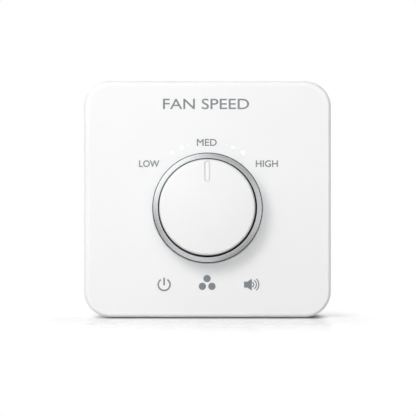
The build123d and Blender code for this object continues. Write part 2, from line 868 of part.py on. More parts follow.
def pot_wafer():
    """The board that carries the track. Its tongue holds the legs, and its hole the end of the shaft."""
    wafer = peg(pot_radius - pot_can_wall - wafer_play, wafer_bottom, wafer_top)
    wafer += brick(tongue_width, pot_radius / 2 + leg_tongue, wafer_bottom, wafer_top,
                   0, -pot_radius / 2 - (pot_radius / 2 + leg_tongue) / 2)
    wafer -= peg(shaft_pivot_radius + shaft_clearance, wafer_bottom - past, wafer_top + past)
    for x in (-leg_spacing, 0, leg_spacing):
        wafer -= brick(leg_width + leg_fit, leg_thickness + leg_fit, wafer_bottom - past,
                       wafer_top + past, x, leg_line())
    return knob_axis * wafer


def pot_track():
    """The carbon track printed on the wafer, open at the bottom."""
    return knob_axis * sector(track_inner, track_outer, wafer_top, wafer_top + track_thickness,
                              0, full_turn - track_gap_angle)


def pot_legs():
    """Three tinned legs from the wafer's tongue up through the control board."""
    return [knob_axis * brick(leg_width, leg_thickness, wafer_bottom - leg_past_wafer,
                              control_front + leg_past_board, x, leg_line())
            for x in (-leg_spacing, 0, leg_spacing)]


def pot_washer():
    """The washer on the floor of the knob's well."""
    return knob_axis * tube(washer_radius, bushing_radius + thread_gap, well_floor, nut_level)


def pot_nut():
    """The hexagon nut that clamps the potentiometer's bushing in the cover."""
    corner = nut_across_flats / 2 / cos(radians(30))
    nut = slab(RegularPolygon(corner, 6) - Circle(bushing_radius + thread_gap),
               nut_level, nut_level + nut_thickness)
    top = nut_level + nut_thickness
    lead = corner - nut_across_flats / 2
    trim = turned((nut_across_flats / 2, top), (corner + past, top - lead - nut_chamfer),
                  (corner + past, top + past), (nut_across_flats / 2, top + past))
    return knob_axis * (nut - trim)


# Everything that turns with the knob

def pot_shaft():
    """The steel shaft: a pivot in the wafer, a journal in the bushing, a clip groove and a D-shaped end."""
    groove_top = clip_level + clip_thickness
    shaft = turned((0, wafer_bottom), (shaft_pivot_radius, wafer_bottom),
                   (shaft_pivot_radius, rotor_bottom), (shaft_radius, rotor_bottom),
                   (shaft_radius, clip_level),
                   (shaft_radius - clip_groove_depth, clip_level),
                   (shaft_radius - clip_groove_depth, groove_top), (shaft_radius, groove_top),
                   (shaft_radius, hub_top - shaft_chamfer),
                   (shaft_radius - shaft_chamfer, hub_top), (0, hub_top))
    flat = brick(2 * shaft_radius, shaft_radius, hub_top - shaft_flat_length, hub_top + past,
                 0, -shaft_flat - shaft_radius / 2)
    return knob_axis * (shaft - flat)


def shaft_clip():
    """The spring clip in the shaft's groove that keeps the shaft in its bushing."""
    clip = sector(shaft_radius - clip_groove_depth, clip_radius, clip_level, clip_level + clip_thickness,
                  0, full_turn - clip_opening)
    return knob_axis * clip


def pot_rotor():
    """The moulded rotor on the shaft. Its lug stops against the two pegs of the front plate."""
    rotor = tube(rotor_radius, shaft_radius, rotor_bottom, rotor_top)
    rotor += sector((shaft_radius + rotor_radius) / 2, lug_radius, rotor_bottom, rotor_top,
                    180, 2 * lug_half_angle)
    return knob_axis * rotor


def pot_wiper():
    """The spring contact under the rotor: a ring with a finger that rides just over the track."""
    low, high = rotor_bottom - wiper_thickness, rotor_bottom
    finger = (track_inner + track_outer) / 2
    wiper = tube(rotor_radius, wiper_inner, low, high)
    wiper += brick(wiper_finger, finger - wiper_inner, low, high, 0, (finger + wiper_inner) / 2)
    wiper += peg(wiper_contact_radius, low - rotor_gap + wiper_contact_gap, high, 0, finger)
    return knob_axis * wiper


def knob_carrier():
    """The black moulding in the knob: hub with a D-shaped bore, ribs, and the wall that holds the ring."""
    inner = ring_inner - carrier_wall
    floor = carrier_top - carrier_floor
    hub_bottom = clip_level + clip_thickness + hub_over_clip
    body = turned((shaft_radius + shaft_clearance, hub_bottom), (hub_radius, hub_bottom),
                  (hub_radius, floor), (inner, floor), (inner, knob_rear + carrier_rear_gap),
                  (ring_inner + ring_flange - carrier_fit, knob_rear + carrier_rear_gap),
                  (ring_inner + ring_flange - carrier_fit, knob_rear + flange_height),
                  (ring_inner, knob_rear + flange_height), (ring_inner, carrier_top),
                  (hub_radius, carrier_top), (hub_radius, hub_top),
                  (shaft_radius + shaft_clearance, hub_top))
    for i in range(carrier_ribs):
        rib = brick(carrier_rib_thickness, inner - hub_radius + carrier_wall, floor - carrier_rib_height,
                    floor + carrier_floor / 2, 0, (inner + hub_radius) / 2)
        body += Rot(0, 0, i * full_turn / carrier_ribs + carrier_rib_turn) * rib
    spring_space = spring_thickness + 2 * spring_play
    block = brick(2 * shaft_radius, shaft_radius, hub_top - shaft_flat_length + spring_margin, hub_top,
                  0, -shaft_flat - spring_space - shaft_radius / 2)
    body += block & peg((shaft_radius + hub_radius) / 2, hub_bottom, hub_top + past)
    for i in range(pegs):
        body -= peg(peg_radius + peg_fit, floor - carrier_rib_height - past, carrier_top + past,
                    *on_circle(peg_circle, i * full_turn / pegs + peg_turn))
    return knob_axis * body


def grip_spring():
    """The leaf spring between the shaft's flat and the hub, which holds the knob on."""
    leaf = brick(spring_width, spring_thickness, hub_top - shaft_flat_length + 2 * spring_margin,
                 hub_top - spring_margin, 0, -shaft_flat - spring_play - spring_thickness / 2)
    return knob_axis * leaf


def knob_ring():
    """The turned aluminium ring: a bevelled face, and a rebate behind for the carrier's flange."""
    inner, outer = ring_inner, ring_radius
    return knob_axis * turned((inner + ring_flange, knob_rear), (outer - ring_edge, knob_rear),
                              (outer, knob_rear + ring_edge),
                              (outer, ring_front - ring_bevel - ring_edge),
                              (outer - ring_edge, ring_front - ring_bevel),
                              (inner, ring_front), (inner, knob_rear + flange_height),
                              (inner + ring_flange, knob_rear + flange_height))


def cap_rounding(lean):
    """The point on the cap's rounded edge, as radius and level, where the surface leans this far outwards."""
    return cap_radius - cap_round * (1 - sin(lean)), cap_side_top + cap_round * cos(lean)


def dome_level(radius):
    """The level of the cap's front at a radius: a shallow dome that runs smoothly into the rounded edge."""
    return knob_top - cap_dome * (radius / cap_rounding(cap_slope)[0]) ** 2


def pointer_seat():
    """The pointer's place: sunk under the dome at its own radius, and tilted with the dome."""
    middle = cap_radius - pointer_from_edge - pointer_length / 2
    tilt = atan(2 * cap_dome * middle / cap_rounding(cap_slope)[0] ** 2)
    return Pos(0, middle, dome_level(middle) - pointer_depth) * Rot(-degrees(tilt), 0, 0)


def pointer(spare, high):
    """The round-ended pointer, drawn out by a spare width, from its seat's floor up to a level."""
    outline = SlotOverall(pointer_length + 2 * spare, pointer_width + 2 * spare, rotation=90)
    return pointer_seat() * slab(outline, -pointer_thickness, high)


def knob_cap():
    """The white cap: a shallow dome with a rounded edge, a slot for the pointer, and three pegs behind."""
    edge, shoulder = cap_rounding(cap_slope)
    upright = radians(90)
    dome = ThreePointArc((0, knob_top), (edge / 2, dome_level(edge / 2)), (edge, shoulder))
    corner = ThreePointArc((edge, shoulder), cap_rounding((cap_slope + upright) / 2), cap_rounding(upright))
    inner = cap_radius - cap_wall
    ceiling = knob_top - cap_dome - cap_wall
    sides = Polyline(cap_rounding(upright), (cap_radius, carrier_top), (inner, carrier_top),
                     (inner, ceiling), (0, ceiling), (0, knob_top))
    cap = revolve(Plane.XZ * make_face(dome + corner + sides), Axis.Z)
    for i in range(pegs):
        cap += peg(peg_radius, carrier_top - carrier_floor, ceiling + cap_wall / 2,
                   *on_circle(peg_circle, i * full_turn / pegs + peg_turn))
    cap -= pointer(pointer_fit, pointer_depth + past)
    return knob_axis * cap


def pointer_inlay():
    """The pale pointer, let into the cap a little under its face."""
    return knob_axis * pointer(0, 0)


def write(name, pieces):
    """Stands a piece, or a group of like pieces, up against the wall and writes it as one part."""
    group = pieces if isinstance(pieces, list) else [pieces]
    solids = [solid for piece in group for solid in (Rot(90, 0, 0) * piece).solids()]
    shape = solids[0] if len(solids) == 1 else Compound(children=solids)
    export_step(shape, os.path.join("parts", name + ".step"))


PIECES = [
    wall_base, front_cover, light_guide, power_board, control_board, power_board_screws,
    control_board_screws, terminal_block, terminal_cages, terminal_screws, heat_sink, triac, triac_screw,
    choke_core, choke_winding, suppression_capacitor, smoothing_capacitors, supply_module, fuse, varistor,
    link_socket, link_header, controller_chip, sounder, touch_pads, speed_lamps, pot_bushing, pot_can,
    pot_wafer, pot_track, pot_legs, pot_washer, pot_nut, pot_shaft, shaft_clip, pot_rotor, pot_wiper,
    knob_carrier, grip_spring, knob_ring, knob_cap, pointer_inlay,
]

os.makedirs("parts", exist_ok=True)
for make in PIECES:
    write(make.__name__, make())
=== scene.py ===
import json
import math

import bmesh
import bpy
import numpy as np
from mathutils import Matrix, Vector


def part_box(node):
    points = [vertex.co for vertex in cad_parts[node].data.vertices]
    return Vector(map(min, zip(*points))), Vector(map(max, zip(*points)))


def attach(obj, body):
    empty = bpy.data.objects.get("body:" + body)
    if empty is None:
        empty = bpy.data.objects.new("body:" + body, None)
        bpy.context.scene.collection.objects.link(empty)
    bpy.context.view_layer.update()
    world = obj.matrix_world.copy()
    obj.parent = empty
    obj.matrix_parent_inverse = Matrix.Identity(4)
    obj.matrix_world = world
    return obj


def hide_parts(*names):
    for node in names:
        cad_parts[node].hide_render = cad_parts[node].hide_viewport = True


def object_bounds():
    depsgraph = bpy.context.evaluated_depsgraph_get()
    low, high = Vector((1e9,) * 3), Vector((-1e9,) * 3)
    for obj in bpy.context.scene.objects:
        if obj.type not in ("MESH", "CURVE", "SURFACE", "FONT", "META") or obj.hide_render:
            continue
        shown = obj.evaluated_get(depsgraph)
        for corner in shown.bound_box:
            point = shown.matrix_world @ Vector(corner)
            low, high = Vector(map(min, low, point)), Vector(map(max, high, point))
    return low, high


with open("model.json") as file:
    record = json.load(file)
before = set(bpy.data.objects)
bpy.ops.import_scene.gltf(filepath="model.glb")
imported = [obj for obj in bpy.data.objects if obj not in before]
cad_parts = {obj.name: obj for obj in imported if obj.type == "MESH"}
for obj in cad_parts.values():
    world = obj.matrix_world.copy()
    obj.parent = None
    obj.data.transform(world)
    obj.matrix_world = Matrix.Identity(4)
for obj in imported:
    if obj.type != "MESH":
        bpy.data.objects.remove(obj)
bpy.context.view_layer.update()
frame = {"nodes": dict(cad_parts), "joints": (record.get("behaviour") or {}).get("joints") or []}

nodes = frame["nodes"]


# The camera looks straight at the face, as in the photograph, and its long lens keeps the sides of the
# housing out of sight. It stands a little lower than the knob, so the cap shows slightly high in its ring.
# The frame is as wide as the photograph's: 416 pixels for 144.85 mm.
KNOB_AXIS = frame["joints"][0]["pos_m"]
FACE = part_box("front_cover")[0].y
FRAME_WIDTH = 0.14485
CAMERA_DISTANCE = 0.8
SENSOR = 36.0
AIM_RIGHT, AIM_UP = 0.00017, 0.00007
CAMERA_DROP = 0.015
CLIP_NEAR, CLIP_FAR = 0.01, 20.0


def placed(name, data):
    """Adds an object that holds this data to the scene, at the origin."""
    made = bpy.data.objects.new(name, data)
    bpy.context.scene.collection.objects.link(made)
    return made


lens = bpy.data.cameras.new("camera")
lens.sensor_width = SENSOR
lens.lens = SENSOR * CAMERA_DISTANCE / FRAME_WIDTH
lens.shift_y = CAMERA_DROP / FRAME_WIDTH
lens.clip_start, lens.clip_end = CLIP_NEAR, CLIP_FAR
camera = placed("camera", lens)
camera.location = (KNOB_AXIS[0] + AIM_RIGHT, FACE - CAMERA_DISTANCE, KNOB_AXIS[2] + AIM_UP - CAMERA_DROP)
camera.rotation_euler = (math.radians(90), 0, 0)
bpy.context.scene.camera = camera
bpy.context.scene.view_settings.view_transform = "Standard"


# The wall base is a moulding in a slightly warmer white than the cover. Injection moulding leaves it
# with a fine spark-eroded grain, and its colour drifts a little as the plastic flowed from the gate.
class Shade:
    """An output of a shader node. Sums, differences and products of outputs and numbers add Math nodes."""

    def __init__(self, tree, socket=None):
        self.tree, self.socket = tree, socket

    def node(self, kind, settings=(), inputs=(), output=0):
        """Adds a node of any kind: first its settings, then its sockets' values or links."""
        made = self.tree.nodes.new(kind)
        for name, value in dict(settings).items():
            setattr(made, name, value)
        for name, value in dict(inputs).items():
            if isinstance(value, Shade):
                self.tree.links.new(value.socket, made.inputs[name])
            else:
                made.inputs[name].default_value = value
        return Shade(self.tree, made.outputs[output])

    def maths(self, operation, first, second=0.0):
        return self.node("ShaderNodeMath", {"operation": operation}, {0: first, 1: second})

    def __add__(self, other):
        return self.maths("ADD", self, other)

    def __mul__(self, other):
        return self.maths("MULTIPLY", self, other)

    def __sub__(self, other):
        return self.maths("SUBTRACT", self, other)

    def __rsub__(self, other):
        return self.maths("SUBTRACT", other, self)

    def __gt__(self, limit):
        return self.maths("GREATER_THAN", self, limit)

    def __lt__(self, limit):
        return self.maths("LESS_THAN", self, limit)

    __radd__ = __add__
    __rmul__ = __mul__

    def part(self, axis):
        """One of a place's three coordinates, by its letter."""
        return self.node("ShaderNodeSeparateXYZ", {}, {"Vector": self}, output=axis)

    def noise(self, size, detail=2.0, stretch=(1, 1, 1)):
        """Noise at a place. Its lumps are size metres across, and longer where stretch is under 1."""
        held = self.node("ShaderNodeMapping", {}, {"Vector": self, "Scale": stretch})
        return self.node("ShaderNodeTexNoise", {}, {"Vector": held, "Scale": 1 / size, "Detail": detail})

    def between(self, first, second):
        """The colour this far on the way from one colour to another."""
        colours = {0: self}
        for socket, colour in ((6, first), (7, second)):
            colours[socket] = colour if isinstance(colour, Shade) else (*colour, 1)
        return self.node("ShaderNodeMix", {"data_type": "RGBA"}, colours, output=2)

    def relief(self, height):
        """A surface normal tilted by a pattern that stands up to a height in metres."""
        return self.node("ShaderNodeBump", {}, {"Strength": 1.0, "Distance": height, "Height": self})

    def into(self, socket):
        """Leads this output into a socket of the material's own shader."""
        self.tree.links.new(self.socket, self.tree.nodes["Principled BSDF"].inputs[socket])

    def as_surface(self):
        """Makes this shader the surface of a material that has no shader of its own."""
        self.tree.links.new(self.socket, self.tree.nodes["Material Output"].inputs["Surface"])


def finish(name, **fixed):
    """A new material with fixed values on its shader's own sockets, and the place on the piece."""
    made = bpy.data.materials.new(name)
    made.use_nodes = True
    for socket, value in fixed.items():
        made.node_tree.nodes["Principled BSDF"].inputs[socket.replace("_", " ")].default_value = value
    return made, Shade(made.node_tree).node("ShaderNodeTexCoord", output="Object")


FLOW_SIZE, FLOW_GLOSS, GRAIN_GLOSS = 0.018, 0.10, 0.06


def moulded(name, colour, roughness, grain=0.00025, height=0.0000015, mottle=0.012, **fixed):
    """Moulded plastic. Its colour and roughness drift over a centimetre or two, and its fine grain has a
    size and a height in metres."""
    made, place = finish(name, **fixed)
    flow = place.noise(FLOW_SIZE, 3.0)
    fine = place.noise(grain)
    darker, lighter = [c * (1 - mottle) for c in colour], [min(1, c * (1 + mottle)) for c in colour]
    flow.between(darker, lighter).into("Base Color")
    (roughness + (flow - 0.5) * FLOW_GLOSS + (fine - 0.5) * GRAIN_GLOSS).into("Roughness")
    fine.relief(height).into("Normal")
    return made


WELD_GAP = 2e-7
SMOOTH_ANGLE = math.radians(30)


def shade_smooth(piece):
    """Shades a welded piece smooth up to an angle, and even across its flat faces."""
    piece.data.polygons.foreach_set("use_smooth", np.ones(len(piece.data.polygons), bool))
    piece.modifiers.new("edges", "EDGE_SPLIT").split_angle = SMOOTH_ANGLE
    piece.modifiers.new("even", "WEIGHTED_NORMAL").keep_sharp = True


def dress(node, material):
    """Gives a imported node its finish, and welds its loose triangles for it."""
    piece = nodes[node]
    piece.data.materials.clear()
    piece.data.materials.append(material)
    piece.modifiers.new("weld", "WELD").merge_threshold = WELD_GAP
    shade_smooth(piece)


dress("wall_base", moulded("base_white", (0.86, 0.86, 0.85), 0.46, grain=0.0004, height=0.000003))


# The two circuit boards are glass-fibre laminate under a green solder mask. The copper tracks under the
# mask show as a paler, slightly raised pattern, and the cut edges show the bare yellowish laminate.
EDGE_SHARE = 0.06


def circuit_board(name, node, track_pitch):
    """Solder mask over tracks. The joints of two brick patterns are the tracks, laid on x and z. The mask
    covers both faces, and the edges between them stay bare."""
    made, place = finish(name, Coat_Weight=0.3, Coat_Roughness=0.12)
    flat = place.node("ShaderNodeCombineXYZ", {}, {"X": place.part("X"), "Y": place.part("Z")})
    track = 0.0
    for scale, row, width in ((1 / track_pitch, 1.0, 6.3), (0.61 / track_pitch, 1.7, 2.9)):
        track = track + place.node("ShaderNodeTexBrick", {"offset": 0.37}, {
            "Vector": flat, "Scale": scale, "Mortar Size": 0.12, "Mortar Smooth": 0.2,
            "Brick Width": width, "Row Height": row}, output="Fac")
    track = place.maths("MINIMUM", track, 1.0)
    weave = place.noise(0.0007, 1.0)
    green = (track * 0.75 + weave * 0.2).between((0.022, 0.15, 0.062), (0.055, 0.30, 0.13))
    low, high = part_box(node)
    level = place.part("Y")
    skin = (high.y - low.y) * EDGE_SHARE
    faces = place.maths("MAXIMUM", level < low.y + skin, level > high.y - skin)
    faces.between((0.46, 0.40, 0.20), green).into("Base Color")
    (0.62 - faces * 0.27 + weave * 0.06).into("Roughness")
    (track * 0.8 + weave * 0.2).relief(0.00003).into("Normal")
    dress(node, made)


circuit_board("power_board_mask", "power_board", 0.0023)
circuit_board("control_board_mask", "control_board", 0.0014)


# The board screws are pan-head steel, cold headed and zinc plated. The plating is a little cloudy, and
# carries fine scratches.
def plated(name, colour, roughness, cloud=0.12):
    """Plated or bright metal: cloudy patches change its colour and roughness, and fine scratches its
    relief."""
    made, place = finish(name, Metallic=1.0)
    patch = place.noise(0.0016, 3.0)
    scratch = place.noise(0.00012, 2.0, stretch=(1, 0.15, 1))
    patch.between([c * (1 - cloud) for c in colour], colour).into("Base Color")
    (roughness + (patch - 0.5) * 0.16 + (scratch - 0.5) * 0.10).into("Roughness")
    scratch.relief(0.0000012).into("Normal")
    return made


zinc_plate = plated("zinc_plate", (0.64, 0.65, 0.68), 0.34)
for name in ("power_board_screws", "control_board_screws"):
    dress(name, zinc_plate)


# The terminal block is grey-green polyamide with four brass cages. A slotted steel screw in each cage
# clamps the wire that comes in from below.
dress("terminal_block", moulded("terminal_grey", (0.30, 0.42, 0.36), 0.50, grain=0.0003, mottle=0.03))
dress("terminal_cages", plated("cage_brass", (0.78, 0.62, 0.32), 0.30, cloud=0.2))
dress("terminal_screws", zinc_plate)


# The heat sink is extruded aluminium, so fine die lines run along its fins. The triac on it has a moulded
# black body, and its tab and legs are tinned copper.
def drawn(name, colour, roughness, stretch):
    """Extruded or drawn metal: streaks run along the axis that stretch names with a small number."""
    made, place = finish(name, Metallic=1.0)
    line = place.noise(0.00018, 3.0, stretch=stretch)
    patch = place.noise(0.004, 2.0)
    (line * 0.6 + patch * 0.4).between([c * 0.82 for c in colour], colour).into("Base Color")
    (roughness + (line - 0.5) * 0.25).into("Roughness")
    line.relief(0.000003).into("Normal")
    return made


BARE_ROUGHNESS = 0.28


def leaded(name, node, body, roughness, bare, metal=(0.70, 0.70, 0.71)):
    """A moulded part with bare metal: bare() turns the place into a mask that is 1 on the metal."""
    made, place = finish(name)
    fine = place.noise(0.00022)
    mask = bare(place)
    mask.between(body, metal).into("Base Color")
    mask.into("Metallic")
    (roughness + (fine - 0.5) * 0.12 - mask * (roughness - BARE_ROUGHNESS)).into("Roughness")
    fine.relief(0.000002).into("Normal")
    dress(node, made)


dress("heat_sink", drawn("sink_aluminium", (0.60, 0.61, 0.62), 0.42, (1, 1, 0.02)))
TRIAC_TAB, TRIAC_BODY = 0.0060, 0.0086
tab_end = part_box("triac")[1].z - TRIAC_TAB
leaded("triac_black", "triac", (0.035, 0.035, 0.037), 0.45, lambda place: place.maths(
    "MAXIMUM", place.part("Z") > tab_end, place.part("Z") < tab_end - TRIAC_BODY))
dress("triac_screw", zinc_plate)


# The choke is a ferrite ring, pressed and sintered, under a winding of enamelled copper wire. Each turn
# of the solid stands for several turns of the real wire, so the wires show as ridges that run across it.
core, place = finish("ferrite", Metallic=0.2)
speck = place.noise(0.00015, 3.0)
speck.between((0.06, 0.06, 0.065), (0.14, 0.14, 0.145)).into("Base Color")
(0.55 + speck * 0.2).into("Roughness")
speck.relief(0.00001).into("Normal")
dress("choke_core", core)
choke_low, choke_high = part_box("choke_core")
WIRE_TURNS = 96
wire, place = finish("enamelled_copper", Metallic=0.85, Coat_Weight=0.6, Coat_Roughness=0.1)
around = place.maths("ARCTAN2", place.part("X") - (choke_low.x + choke_high.x) / 2,
                     place.part("Z") - (choke_low.z + choke_high.z) / 2)
ridge_and_groove_shade = place.maths("SINE", around * WIRE_TURNS) * 0.5 + 0.5
# Painted shade: the copper is darker in the grooves between the wire ridges.
ridge_and_groove_shade.between((0.34, 0.13, 0.05), (0.66, 0.31, 0.14)).into("Base Color")
(0.30 + place.noise(0.001) * 0.15).into("Roughness")
ridge_and_groove_shade.relief(0.00008).into("Normal")
dress("choke_winding", wire)


# Capacitors: a moulded yellow box across the mains, and two aluminium cans in shrunk sleeves. A can's
# top is bare metal, and a pale stripe runs down its sleeve on the negative side.
dress("suppression_capacitor", moulded("suppressor_yellow", (0.82, 0.63, 0.12), 0.42, grain=0.0005,
                                       mottle=0.04))
can_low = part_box("smoothing_capacitors")[0]
CAN_TOP_BARE = 0.0004
CAN_STRIPE = 0.0011
sleeve, place = finish("can_sleeve", Coat_Weight=0.25)
bare = place.part("Y") < can_low.y + CAN_TOP_BARE
stripe = place.part("X") < can_low.x + CAN_STRIPE
blue = stripe.between((0.05, 0.07, 0.16), (0.55, 0.58, 0.62))
bare.between(blue, (0.72, 0.72, 0.73)).into("Base Color")
bare.into("Metallic")
(0.32 + place.noise(0.0006) * 0.12).into("Roughness")
place.noise(0.0012, 1.0).relief(0.00001).into("Normal")
dress("smoothing_capacitors", sleeve)


# The supply module is potted in a moulded black shell, the fuse has a brown moulded case, and the surge
# absorber's disc is dipped in blue epoxy, which leaves it glossy and slightly wavy.
dress("supply_module", moulded("supply_black", (0.035, 0.035, 0.037), 0.48, grain=0.0004, mottle=0.08))
dress("fuse", moulded("fuse_brown", (0.20, 0.08, 0.05), 0.26, mottle=0.05, Coat_Weight=0.3))
dress("varistor", moulded("varistor_blue", (0.08, 0.20, 0.45), 0.28, grain=0.0016, height=0.00003,
                          mottle=0.10, Coat_Weight=0.4))


# The link between the boards is a black polyamide socket, and a header whose square pins have a thin
# plating of pale gold.
socket_black = moulded("socket_black", (0.04, 0.04, 0.042), 0.5, mottle=0.06)
dress("link_socket", socket_black)
TIN_MARGIN = 0.00005
socket_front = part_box("link_socket")[0].y
board_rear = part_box("control_board")[1].y
leaded("header_black", "link_header", (0.04, 0.04, 0.042), 0.5, lambda place: place.maths(
    "MAXIMUM", place.part("Y") > socket_front, place.part("Y") < board_rear - TIN_MARGIN),
    metal=(0.78, 0.74, 0.62))


# Behind the control board sit the controller chip, with tinned gull-wing legs, and a round black sounder.
# In front of it are the rubber touch pads and one small epoxy lamp under each pin of the light guide.
chip_low, chip_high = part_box("controller_chip")
CHIP_BODY = 0.0039
CHIP_MARGIN = 0.00002
chip_middle = (chip_low.z + chip_high.z) / 2
leaded("chip_black", "controller_chip", (0.035, 0.035, 0.037), 0.5, lambda place: place.maths(
    "ABSOLUTE", place.part("Z") - chip_middle) > CHIP_BODY / 2 + CHIP_MARGIN)
dress("sounder", moulded("sounder_black", (0.04, 0.04, 0.042), 0.4, mottle=0.06))
dress("touch_pads", moulded("pad_rubber", (0.06, 0.06, 0.06), 0.75, grain=0.0005, height=0.000008))
dress("speed_lamps", moulded("lamp_white", (0.92, 0.88, 0.66), 0.2, Coat_Weight=0.5))


# The potentiometer: a die-cast bushing, a pressed steel can, a wafer of brown phenolic board with a
# printed carbon track, a natural acetal rotor with its bronze wiper, and a turned steel shaft. The spring
# that grips the shaft in the knob's hub is bronze too.
dress("pot_bushing", plated("cast_zinc", (0.58, 0.58, 0.57), 0.48, cloud=0.18))
can_steel = plated("can_steel", (0.62, 0.63, 0.65), 0.30)
dress("pot_can", can_steel)
wafer, place = finish("phenolic")
fibre = place.noise(0.0004, 3.0, stretch=(0.3, 1, 1))
fibre.between((0.33, 0.17, 0.07), (0.50, 0.30, 0.15)).into("Base Color")
(0.45 + fibre * 0.15).into("Roughness")
fibre.relief(0.000004).into("Normal")
dress("pot_wafer", wafer)
dress("pot_track", moulded("carbon", (0.03, 0.03, 0.03), 0.42, mottle=0.15))
dress("pot_legs", plated("tinned", (0.72, 0.72, 0.72), 0.26))
for name in ("pot_washer", "pot_nut", "shaft_clip"):
    dress(name, zinc_plate)
dress("pot_shaft", drawn("shaft_steel", (0.62, 0.63, 0.65), 0.26, (1, 0.05, 1)))
dress("pot_rotor", moulded("rotor_natural", (0.80, 0.78, 0.70), 0.38, mottle=0.03))
bronze = drawn("spring_bronze", (0.66, 0.45, 0.22), 0.3, (0.1, 1, 1))
for name in ("pot_wiper", "grip_spring"):
    dress(name, bronze)


# The cover is one white moulding with a soft satin face. Its tool is polished where the face turns over
# into the rounded edge, so a thin line there is smoother, and a highlight painted on it makes it a shade
# whiter all round the face. Shade is painted on the sides beyond it, which are a shade greyer.
COVER_CORNER = 0.009
RIM_MIDDLE, RIM_HALF, RIM_GLOSS = 0.00125, 0.00055, 0.16
EDGE_SHADE_START, EDGE_SHADE_END = 0.0006, 0.0002
cover_low, cover_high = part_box("front_cover")
middle, half = (cover_low + cover_high) / 2, (cover_high - cover_low) / 2
cover, place = finish("cover_white")
past_side = place.maths("ABSOLUTE", place.part("X") - middle.x) - (half.x - COVER_CORNER)
past_top = place.maths("ABSOLUTE", place.part("Z") - middle.z) - (half.z - COVER_CORNER)
past_side, past_top = place.maths("MAXIMUM", past_side, 0.0), place.maths("MAXIMUM", past_top, 0.0)
inset = COVER_CORNER - place.maths("SQRT", past_side * past_side + past_top * past_top)
from_rim = (inset - RIM_MIDDLE) * (1 / RIM_HALF)
smooth_rim_and_highlight = place.maths("MAXIMUM", 1.0 - from_rim * from_rim, 0.0)
# Painted shade: the outer edge and the sides are painted greyer.
side = place.node("ShaderNodeMapRange", {"interpolation_type": "SMOOTHSTEP"}, {
    "Value": inset, "From Min": EDGE_SHADE_END, "From Max": EDGE_SHADE_START, "To Min": 1.0, "To Max": 0.0})
flow = place.noise(FLOW_SIZE, 3.0)
fine = place.noise(0.0003)
face = flow.between((0.926, 0.926, 0.924), (0.934, 0.934, 0.932))
# The base colour carries a painted highlight on the rim line and painted shade on the edge and sides.
side.between(smooth_rim_and_highlight.between(face, (0.985, 0.985, 0.983)), (0.90, 0.90, 0.898)).into("Base Color")
(0.40 + (flow - 0.5) * FLOW_GLOSS + (fine - 0.5) * GRAIN_GLOSS - smooth_rim_and_highlight * RIM_GLOSS).into("Roughness")
(fine * (1.0 - smooth_rim_and_highlight)).relief(0.0000012).into("Normal")
dress("front_cover", cover)


# The light guide behind the cover is opal acrylic. The ends of its pins show as the white dots beside the
# words, with a faint glow painted into the acrylic in place of light from the lamps behind them.
dress("light_guide", moulded("guide_opal", (0.97, 0.97, 0.97), 0.25, mottle=0.0, height=0.0,
                             Emission_Color=(1, 1, 1, 1), Emission_Strength=0.16))


# The words and signs are pad printed in grey ink, which stands one to three hundredths of a millimetre
# over the face. The heading's place holds the plain words that say what the knob sets.
MM = 0.001
INK = 0.000012
ink, place = finish("print_grey")
thin = place.noise(0.0003, 2.0)
thin.between((0.204, 0.230, 0.248), (0.235, 0.261, 0.280)).into("Base Color")
(0.42 + thin * 0.12).into("Roughness")
thin.relief(0.000001).into("Normal")


def turn_outwards(mesh):
    """Makes all faces of a closed mesh point outwards."""
    shape = bmesh.new()
    shape.from_mesh(mesh)
    bmesh.ops.recalc_face_normals(shape, faces=shape.faces)
    shape.to_mesh(mesh)
    shape.free()


def printed(name, points, faces):
    """A flat piece of ink on the cover. Points are (right, up, level over the face) in millimetres."""
    mesh = bpy.data.meshes.new(name)
    across, up, level = np.asarray(points, float).T
    mesh.from_pydata(np.stack([across * MM, FACE - level * MM, up * MM], axis=1).tolist(), [], faces)
    turn_outwards(mesh)
    mesh.materials.append(ink)
    piece = placed(name, mesh)
    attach(piece, "housing")


STROKE_OFFSET = -0.002
LETTER_STEPS = 6


def printed_words(name, words, middle, height, width, bold):
    """Words as flat ink, from the built-in letters, scaled so that the capitals have a height and the line
    has a width in millimetres. The strokes are drawn out by bold, mostly as the ink's sloping edge."""
    letters = bpy.data.curves.new(name + "_letters", "FONT")
    letters.body = words
    letters.offset = STROKE_OFFSET
    letters.bevel_depth = bold - STROKE_OFFSET
    letters.bevel_resolution = 0
    letters.extrude = INK / MM
    letters.resolution_u = LETTER_STEPS
    holder = placed(name + "_letters", letters)
    made = bpy.data.meshes.new_from_object(holder.evaluated_get(bpy.context.evaluated_depsgraph_get()))
    points = np.zeros(len(made.vertices) * 3)
    made.vertices.foreach_get("co", points)
    points = points.reshape(-1, 3)
    faces = [list(face.vertices) for face in made.polygons]
    bpy.data.objects.remove(holder)
    bpy.data.curves.remove(letters)
    bpy.data.meshes.remove(made)
    low, high = points.min(axis=0), points.max(axis=0)
    points[:, :2] = (points[:, :2] - (low[:2] + high[:2]) / 2) / (high[:2] - low[:2])
    points[:, :2] = points[:, :2] * (width, height) + middle
    printed(name, points, faces)


HEADING_HEIGHT, WORD_HEIGHT = 3.7, 2.4
printed_words("print_heading", "FAN SPEED", (-0.5, 33.1), HEADING_HEIGHT, 30.0, bold=0.006)
printed_words("print_low", "LOW", (-20.3, 12.3), WORD_HEIGHT, 7.1, bold=0.019)
printed_words("print_med", "MED", (-0.25, 19.7), WORD_HEIGHT, 6.95, bold=0.016)
printed_words("print_high", "HIGH", (20.65, 12.3), WORD_HEIGHT, 7.7, bold=0.018)


def printed_outlines(name, outlines):
    """Closed outlines as flat ink: each is repeated on the ink's back and joined round its edge."""
    points, faces, first = [], [], 0
    for outline in outlines:
        count = len(outline)
        levels = np.repeat((-INK / MM, INK / MM), count)[:, None]
        points.append(np.hstack([np.tile(outline, (2, 1)), levels]))
        back = first + np.arange(count)
        onward = np.roll(back, -1)
        faces += [back.tolist(), (back + count).tolist()]
        faces += np.stack([back, onward, onward + count, back + count], axis=1).tolist()
        first += 2 * count
    printed(name, np.concatenate(points), faces)


ROUND_STEPS = 48


